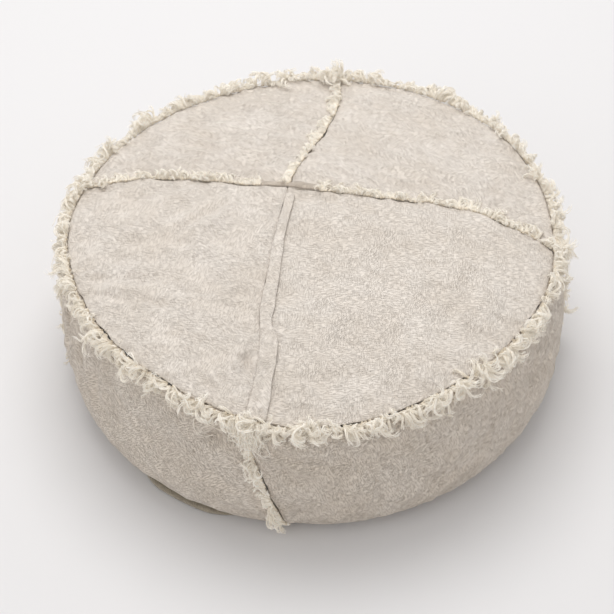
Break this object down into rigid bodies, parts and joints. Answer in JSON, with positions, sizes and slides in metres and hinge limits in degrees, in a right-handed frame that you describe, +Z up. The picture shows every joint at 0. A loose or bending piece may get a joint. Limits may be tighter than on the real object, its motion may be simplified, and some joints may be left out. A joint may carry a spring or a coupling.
{
  "type": "floor cushion",
  "caption": "Round patchwork floor cushion: low crowned top, bulging side band, frayed seam allowances standing outside, and a zipped base.",
  "frame": {"origin": "on the floor, under the middle of the cushion", "axes": "+Z up; -Y towards the front, where the folded seam of the top comes down; the zip in the base runs along X"},
  "size_m": [0.6425, 0.6389, 0.2226],
  "materials": {
    "cover_cloth": "stonewashed crinkled cotton and linen weave",
    "fray": "raw frayed cream yarn",
    "thread": "spun sewing thread",
    "liner_cloth": "plain woven lining",
    "filling": "loose polyester fibre",
    "zip_tape": "woven herringbone tape",
    "zip_coil": "nylon coil",
    "zip_metal": "satin nickel plate"
  },
  "bodies": {
    "cushion": {"back_seam_fray": "fray", "back_seam_thread": "thread", "base_panel_back": "cover_cloth", "base_panel_front": "cover_cloth", "base_seam_allowance": "cover_cloth", "cross_seam_fray_left": "fray", "cross_seam_fray_right": "fray", "cross_seam_thread": "thread", "fibre_filling": "filling", "front_seam_allowance": "cover_cloth", "front_seam_thread": "thread", "liner_base": "liner_cloth", "liner_side": "liner_cloth", "liner_top": "liner_cloth", "rim_fray_back_left": "fray", "rim_fray_back_right": "fray", "rim_fray_front_left": "fray", "rim_fray_front_right": "fray", "rim_seam_thread": "thread", "side_panel_back_left": "cover_cloth", "side_panel_back_right": "cover_cloth", "side_panel_front_left": "cover_cloth", "side_panel_front_right": "cover_cloth", "side_seam_fray_back": "fray", "side_seam_fray_front": "fray", "side_seam_fray_left": "fray", "side_seam_fray_right": "fray", "side_seam_thread_back": "thread", "side_seam_thread_front": "thread", "side_seam_thread_left": "thread", "side_seam_thread_right": "thread", "top_panel_back_left": "cover_cloth", "top_panel_back_right": "cover_cloth", "top_panel_front_left": "cover_cloth", "top_panel_front_right": "cover_cloth", "zip_bottom_stop": "zip_metal", "zip_coil_back": "zip_coil", "zip_coil_front": "zip_coil", "zip_tape_back": "zip_tape", "zip_tape_front": "zip_tape", "zip_top_stop_back": "zip_metal", "zip_top_stop_front": "zip_metal"},
    "slider": {"zip_slider": "zip_metal"},
    "pull": {"zip_pull": "zip_metal"}
  },
  "joints": [
    {"name": "zip_slide", "type": "slide", "parent": "cushion", "child": "slider", "axis": [-1, 0, 0], "range_m": [0, 0.3482]},
    {"name": "pull_swing", "type": "hinge", "parent": "slider", "child": "pull", "pos_m": [0.1741, 0, 0.0041], "axis": [0, -1, 0], "range_deg": [0, 180]}
  ]
}
